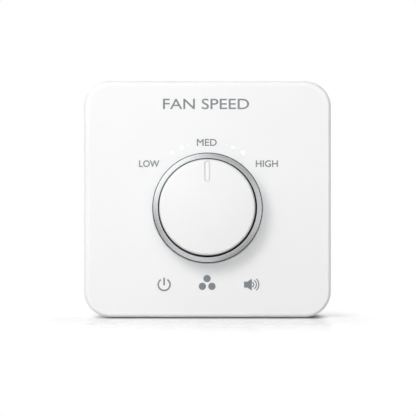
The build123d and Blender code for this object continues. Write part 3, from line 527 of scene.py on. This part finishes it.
def band(middle, radius, stroke, start, end):
    """A bent stroke between two angles, clockwise from up: points half a stroke inside its radius, and
    back along points half a stroke outside it."""
    turn = np.radians(np.linspace(start, end, ROUND_STEPS))
    way = np.stack([np.sin(turn), np.cos(turn)], axis=1)
    inner, outer = way * (radius - stroke / 2), way[::-1] * (radius + stroke / 2)
    return np.concatenate([middle + inner, middle + outer])


def disc(middle, radius):
    """A round dot: points at one radius, all the way round."""
    turn = np.arange(ROUND_STEPS) * 2 * np.pi / ROUND_STEPS
    return middle + radius * np.stack([np.sin(turn), np.cos(turn)], axis=1)


def bar(left, low, right, high):
    """A straight stroke between two corners."""
    return np.array([(left, low), (right, low), (right, high), (left, high)])


SIGN_LINE = -29.8
POWER_X, POWER_RADIUS, POWER_STROKE, POWER_GAP = -15.1, 2.06, 0.56, 33
BAR_HALF, BAR_LOW, BAR_HIGH = 0.3, -30.05, -27.4
printed_outlines("print_power_sign", [
    band((POWER_X, SIGN_LINE), POWER_RADIUS, POWER_STROKE, POWER_GAP, 360 - POWER_GAP),
    bar(POWER_X - BAR_HALF, BAR_LOW, POWER_X + BAR_HALF, BAR_HIGH)])
DOT_RADIUS = 1.27
DOT_MIDDLES = (-0.17, -27.7), (-1.78, -30.4), (1.53, -30.4)
printed_outlines("print_dots_sign", [disc(middle, DOT_RADIUS) for middle in DOT_MIDDLES])
SPEAKER_X, WAVES_X, WAVE_STROKE = 12.7, 15.35, 0.40
horn = np.array([(0, -1.05), (1.2, -1.05), (2.75, -2.1), (2.75, 2.1), (1.2, 1.05), (0, 1.05)])
waves = [band((WAVES_X, SIGN_LINE), radius, WAVE_STROKE, 90 - spread, 90 + spread)
         for radius, spread in ((0.78, 78), (1.68, 58), (2.52, 51))]
printed_outlines("print_speaker_sign", [horn + (SPEAKER_X, SIGN_LINE)] + waves)


# The knob's carrier is a black moulding that shows only in the gap between the cap and the ring. The cap
# is smooth white plastic, pressed in a little high and to the left, so the gap is widest at the lower
# right. The white pointer let into it carries a thin grey line of painted shade all round its rounded
# edge.
CAP_PLAY = (-0.00010, 0.0, 0.00020)
POINTER_SHADE_WIDTH = 0.0002


def seated(name, node, material):
    """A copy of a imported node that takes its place, merged from its loose triangles and moved by the
    cap's play."""
    shape = bmesh.new()
    shape.from_mesh(nodes[node].data)
    bmesh.ops.remove_doubles(shape, verts=shape.verts, dist=WELD_GAP)
    bmesh.ops.translate(shape, verts=shape.verts, vec=CAP_PLAY)
    mesh = bpy.data.meshes.new(name)
    shape.to_mesh(mesh)
    shape.free()
    mesh.materials.append(material)
    piece = placed(name, mesh)
    shade_smooth(piece)
    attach(piece, "knob")
    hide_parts(node)


dress("knob_carrier", moulded("carrier_black", (0.03, 0.03, 0.032), 0.5, mottle=0.08))
cap_white = moulded("cap_white", (0.908, 0.908, 0.905), 0.32, grain=0.0005, height=0.0000006,
                    mottle=0.003)
seated("seated_cap", "knob_cap", cap_white)
pointer_low, pointer_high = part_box("pointer_inlay")
pointer_half = (pointer_high.x - pointer_low.x) / 2
pointer_run = (pointer_high.z - pointer_low.z) / 2 - pointer_half
inlay, place = finish("pointer_pale")
across = place.part("X") - CAP_PLAY[0]
up = place.maths("ABSOLUTE", place.part("Z") - (pointer_low.z + pointer_high.z) / 2 - CAP_PLAY[2])
beyond = place.maths("MAXIMUM", up - pointer_run, 0.0)
from_middle = place.maths("SQRT", across * across + beyond * beyond)
# Painted shade: a thin grey line round the pointer's rounded edge.
painted_edge_shade = from_middle > pointer_half - POINTER_SHADE_WIDTH
soft_grain = place.noise(0.0004)
painted_edge_shade.between((0.925, 0.925, 0.925), (0.70, 0.71, 0.72)).into("Base Color")
(0.34 + soft_grain * 0.04).into("Roughness")
soft_grain.relief(0.0000008).into("Normal")
seated("seated_pointer", "pointer_inlay", inlay)


# The ring is turned from aluminium bar and clear anodised. The tool leaves fine concentric grooves on its
# bevelled face, which spread the light across them, so the ring shows bright and dark sectors. Its bore is
# painted near black and its outer chamfer dark grey: painted shade that keeps the gap round the cap
# dark and draws a dark line round the ring.
RING_WALL, RING_BEVEL, RING_EDGE = 0.00195, 0.00025, 0.0003
RING_FLANGE, FLANGE_HEIGHT = 0.0009, 0.001
RING_CORNER = 0.00009
RING_CROWN = 0.00003
GROOVE_PITCH, SECOND_PITCH, GROOVE_DEPTH = 0.00012, 0.0001644, 0.000004
GROOVE_ROWS, RING_COLUMNS = 76, 480


def turned(name, profile, columns):
    """A closed profile of (radius, level) points, carried round the knob's axis: each row of the grid is
    one profile point at every angle, and the last row joins the first."""
    turn = np.arange(columns) * 2 * np.pi / columns
    radius, level = profile[:, :1], profile[:, 1:]
    level = np.broadcast_to(level, (len(profile), columns))
    points = np.stack([radius * np.sin(turn), -level, KNOB_AXIS[2] + radius * np.cos(turn)], axis=-1)
    index = np.arange(level.size).reshape(level.shape)
    onward = np.roll(index, -1, axis=0)
    faces = np.stack([index, np.roll(index, -1, axis=1), np.roll(onward, -1, axis=1), onward], axis=-1)
    mesh = bpy.data.meshes.new(name)
    mesh.from_pydata(points.reshape(-1, 3).tolist(), [], faces.reshape(-1, 4).tolist())
    mesh.polygons.foreach_set("use_smooth", np.ones(len(mesh.polygons), bool))
    turn_outwards(mesh)
    return placed(name, mesh)


def rounded(corners, size, steps=4):
    """Each corner of a closed outline as a short curve. The weights (1 - t)^2, 2t(1 - t) and t^2 mix a
    point just before the corner, the corner, and a point just after it."""
    before, after = np.roll(corners, 1, axis=0) - corners, np.roll(corners, -1, axis=0) - corners
    before *= size / np.linalg.norm(before, axis=1, keepdims=True)
    after *= size / np.linalg.norm(after, axis=1, keepdims=True)
    t = np.linspace(0, 1, steps)[None, :, None]
    return corners[:, None] + (1 - t) ** 2 * before[:, None] + t ** 2 * after[:, None]


ring_low, ring_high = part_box("knob_ring")
ring_outer = (ring_high.x - ring_low.x) / 2
ring_inner = ring_outer - RING_WALL
ring_rear, ring_front = -ring_high.y, -ring_low.y
corners = np.array([
    (ring_inner + RING_FLANGE, ring_rear), (ring_outer - RING_EDGE, ring_rear),
    (ring_outer, ring_rear + RING_EDGE), (ring_outer, ring_front - RING_BEVEL - RING_EDGE),
    (ring_outer - RING_EDGE, ring_front - RING_BEVEL), (ring_inner, ring_front),
    (ring_inner, ring_rear + FLANGE_HEIGHT), (ring_inner + RING_FLANGE, ring_rear + FLANGE_HEIGHT)])
curves = rounded(corners, RING_CORNER)
face_start, face_end = curves[4, -1], curves[5, 0]
along = np.linspace(0, 1, GROOVE_ROWS + 2)[1:-1, None]
run = along * np.linalg.norm(face_end - face_start)
groove = 0.6 * np.sin(2 * np.pi * run / GROOVE_PITCH) + 0.4 * np.sin(2 * np.pi * run / SECOND_PITCH)
face_rows = face_start + along * (face_end - face_start)
face_rows[:, 1:] += RING_CROWN * 4 * along * (1 - along) - GROOVE_DEPTH * (0.5 + 0.5 * groove)
profile = np.concatenate([curves[:5].reshape(-1, 2), face_rows, curves[5:].reshape(-1, 2)])
ring = turned("turned_ring", profile, RING_COLUMNS)
anodised, place = finish("ring_aluminium", Metallic=1.0)
streak = place.noise(0.0006, 3.0)
off_axis = place.node("ShaderNodeCombineXYZ", {}, {
    "X": place.part("X"), "Z": place.part("Z") - KNOB_AXIS[2]})
from_axis = place.node("ShaderNodeVectorMath", {"operation": "LENGTH"}, {0: off_axis}, output="Value")
# Painted shade: the bore near black and the outer chamfer dark grey.
painted_bore_shade = from_axis < ring_inner + RING_CORNER / 4
painted_chamfer_shade = (from_axis > ring_outer - RING_EDGE) * (place.part("Y") < RING_BEVEL + RING_EDGE - ring_front)
bright = streak.between((0.755, 0.768, 0.785), (0.815, 0.828, 0.845))
painted_bore_shade.between(painted_chamfer_shade.between(bright, (0.075, 0.095, 0.115)), (0.03, 0.03, 0.032)).into("Base Color")
(0.23 + (streak - 0.5) * 0.04).into("Roughness")
place.noise(0.0002, 2.0).relief(0.0000008).into("Normal")
ring.data.materials.append(anodised)
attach(ring, "knob")
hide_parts("knob_ring")


# The floor is a white glossy sheet. Near the controller it has a painted contact shadow, a grey glow that
# fades into the floor's real shadow, and a reflection that fades towards the camera. Further out, and soon
# beside and behind the housing, it is as white as the backdrop.
floor_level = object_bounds()[0].z
FLOOR_REACH = 6.0
FLOOR_LIFT = 0.34
FLOOR_INDEX, FLOOR_ROUGHNESS, POLISH_MOST, POLISH_REACH = 1.45, 0.16, 0.97, 0.36
FACE_MARGIN = 0.001
# The floor whitens between two distances from the controller, and a second pair bounds the painted
# contact shadow.
# A distance counts more to the side and to the rear, by the factors called PULL.
SHADOW_START, SHADOW_END = 0.04, 0.27
SIDE_HALF, SIDE_PULL, REAR_PULL = 0.043, 17.0, 3.6
FOOT_MIDDLE, FOOT_HALF, FOOT_PULL = 0.0015, 0.0335, 3.6
CONTACT_START, CONTACT_END, CONTACT_SHADOW_GREY = 0.002, 0.029, 0.055
floor_mesh = bpy.data.meshes.new("floor")
floor_mesh.from_pydata([(x * FLOOR_REACH, y * FLOOR_REACH, floor_level) for x, y in
                        ((-1, -1), (1, -1), (1, 1), (-1, 1))], [], [(0, 1, 2, 3)])
floor = placed("floor", floor_mesh)
floor.visible_glossy = False


def stage_paint(name):
    """A material with its shader taken out, for what is not part of the controller."""
    paint = bpy.data.materials.new(name)
    paint.use_nodes = True
    paint.node_tree.nodes.remove(paint.node_tree.nodes["Principled BSDF"])
    return paint, Shade(paint.node_tree)


def in_view(start):
    """1 for a ray from the camera, straight or by way of a mirror or glass, and 0 for light that falls on
    things."""
    seen = start.node("ShaderNodeLightPath", output="Is Camera Ray")
    for kind in ("Is Glossy Ray", "Is Transmission Ray"):
        seen = start.maths("MAXIMUM", seen, start.node("ShaderNodeLightPath", output=kind))
    return seen


floor_white, start = stage_paint("floor_white")
place = start.node("ShaderNodeTexCoord", output="Object")
lit = place.node("ShaderNodeBsdfDiffuse", {}, {"Color": (0.9, 0.9, 0.9, 1)})
bounce = place.node("ShaderNodeBsdfDiffuse", {}, {"Color": (0.7, 0.7, 0.7, 1)})
lift = place.node("ShaderNodeEmission", {}, {"Color": (1, 1, 1, 1), "Strength": FLOOR_LIFT})
shaded = place.node("ShaderNodeAddShader", {}, {0: lit, 1: lift})
polish = place.node("ShaderNodeBsdfAnisotropic", {}, {"Color": (0.95, 0.95, 0.95, 1),
                                                      "Roughness": FLOOR_ROUGHNESS})
ahead = FACE - place.part("Y")
fade = place.node("ShaderNodeMapRange", {"interpolation_type": "SMOOTHSTEP"}, {
    "Value": ahead, "From Min": 0.0, "From Max": POLISH_REACH, "To Min": POLISH_MOST, "To Max": 0.0})
fade = fade * (ahead > -FACE_MARGIN) * place.node("ShaderNodeFresnel", {}, {"IOR": FLOOR_INDEX})
open_floor = place.node("ShaderNodeMixShader", {}, {0: fade, 1: shaded, 2: polish})
off_middle = place.maths("ABSOLUTE", place.part("X") - FOOT_MIDDLE)
aside = place.maths("MAXIMUM", off_middle - FOOT_HALF, 0.0) * FOOT_PULL
before = place.maths("MAXIMUM", place.maths("MAXIMUM", ahead, place.part("Y")), 0.0)
rise = place.node("ShaderNodeMapRange", {"interpolation_type": "SMOOTHSTEP"}, {
    "Value": place.maths("SQRT", aside * aside + before * before), "From Min": CONTACT_START,
    "From Max": CONTACT_END})
# Painted contact shadow: a grey glow close round the foot of the housing.
painted_contact_shadow = place.node("ShaderNodeEmission", {}, {"Color": (0.82, 0.94, 1, 1), "Strength": CONTACT_SHADOW_GREY})
near = place.node("ShaderNodeMixShader", {}, {0: rise, 1: painted_contact_shadow, 2: open_floor})
white = place.node("ShaderNodeEmission", {}, {"Color": (1, 1, 1, 1), "Strength": 1.0})
side = place.maths("MAXIMUM", place.maths("ABSOLUTE", place.part("X")) - SIDE_HALF, 0.0) * SIDE_PULL
depth = place.maths("MAXIMUM", place.maths("MAXIMUM", ahead, place.part("Y") * REAR_PULL), 0.0)
far = place.node("ShaderNodeMapRange", {"interpolation_type": "SMOOTHSTEP"}, {
    "Value": place.maths("SQRT", side * side + depth * depth), "From Min": SHADOW_START,
    "From Max": SHADOW_END})
shown = place.node("ShaderNodeMixShader", {}, {0: far, 1: near, 2: white})
place.node("ShaderNodeMixShader", {}, {0: in_view(place), 1: bounce, 2: shown}).as_surface()
floor_mesh.materials.append(floor_white)


# The studio: a surround that gives more light from above and the left, a wide soft box in front, and a
# smaller one high on the left, which throws the knob's shadow down to the right. Cards that only mirror
# images show give the metal ring its dark and bright sectors.
AMBIENT = 0.374
SKY_SLOPE = (-0.29, 0.0, 0.377)
world = bpy.data.worlds.new("studio")
bpy.context.scene.world = world
world.use_nodes = True
start = Shade(world.node_tree)
way = start.node("ShaderNodeTexCoord", output="Generated")
slope = start.node("ShaderNodeVectorMath", {"operation": "DOT_PRODUCT"}, {0: way, 1: SKY_SLOPE},
                   output="Value")
soft = start.maths("MAXIMUM", slope + AMBIENT, 0.0)
strength = soft + in_view(start) * (1.0 - soft)
background = world.node_tree.nodes["Background"]
background.inputs["Color"].default_value = (1, 1, 1, 1)
world.node_tree.links.new(strength.socket, background.inputs["Strength"])


def soft_box(name, away, distance, size, power):
    """A square lamp that faces the knob from a direction. It is left out of mirror images, where the
    flags below take its place."""
    lamp = bpy.data.lights.new(name, "AREA")
    lamp.shape = "SQUARE"
    lamp.size = size
    lamp.energy = power
    stand = placed(name, lamp)
    way = np.array(away) / np.linalg.norm(away)
    stand.location = np.array((0, FACE, KNOB_AXIS[2])) + way * distance
    tilt, swing = math.atan2(math.hypot(way[0], way[1]), way[2]), math.atan2(way[0], -way[1])
    stand.rotation_euler = (tilt, 0, swing)
    stand.visible_glossy = False


soft_box("key", (-0.36, -1.0, 0.45), distance=0.4, size=0.17, power=0.41)
soft_box("front", (-0.03, -1.0, 0.18), distance=0.45, size=0.45, power=0.635)

FLAG_ROWS, FLAG_COLUMNS = 12, 32


def flag(name, middle, spread, grey, inner=6.0, outer=50.0, distance=0.6):
    """A card that only mirror images show: a patch of a sphere round the knob, between two angles off the
    knob's axis and two angles round it. A ray that was scattered before it is reflected sees it white."""
    off = np.radians(np.linspace(inner, outer, FLAG_ROWS))
    turn = np.radians(np.linspace(middle - spread, middle + spread, FLAG_COLUMNS))
    off, turn = np.meshgrid(off, turn, indexing="ij")
    way = np.stack([np.sin(off) * np.sin(turn), -np.cos(off), np.sin(off) * np.cos(turn)], axis=-1)
    points = way * distance + (0, FACE, KNOB_AXIS[2])
    index = np.arange(off.size).reshape(off.shape)
    faces = np.stack([index[:-1, :-1], index[1:, :-1], index[1:, 1:], index[:-1, 1:]], axis=-1)
    mesh = bpy.data.meshes.new(name)
    mesh.from_pydata(points.reshape(-1, 3).tolist(), [], faces.reshape(-1, 4).tolist())
    card = placed(name, mesh)
    for ray in ("camera", "diffuse", "transmission", "shadow", "volume_scatter"):
        setattr(card, "visible_" + ray, False)
    paint, start = stage_paint(name)
    scattered = start.node("ShaderNodeLightPath", output="Diffuse Depth") > 0.5
    strength = grey + scattered * (1 - grey)
    start.node("ShaderNodeEmission", {}, {"Color": (1, 1, 1, 1), "Strength": strength}).as_surface()
    mesh.materials.append(paint)


flag("flag_round", 135, 145, 0.74, distance=0.62)
flag("card_left_top", 313, 32, 1.26, distance=0.62)
flag("flag_right_top", 32, 29, 0.49)
flag("flag_right_low", 142, 28, 0.40)
flag("flag_left", 249, 18, 0.44)
flag("flag_side", 135, 135, 0.1, inner=55.0, outer=110.0, distance=0.64)
flag("flag_side_top", 315, 45, 1.0, inner=55.0, outer=110.0, distance=0.64)
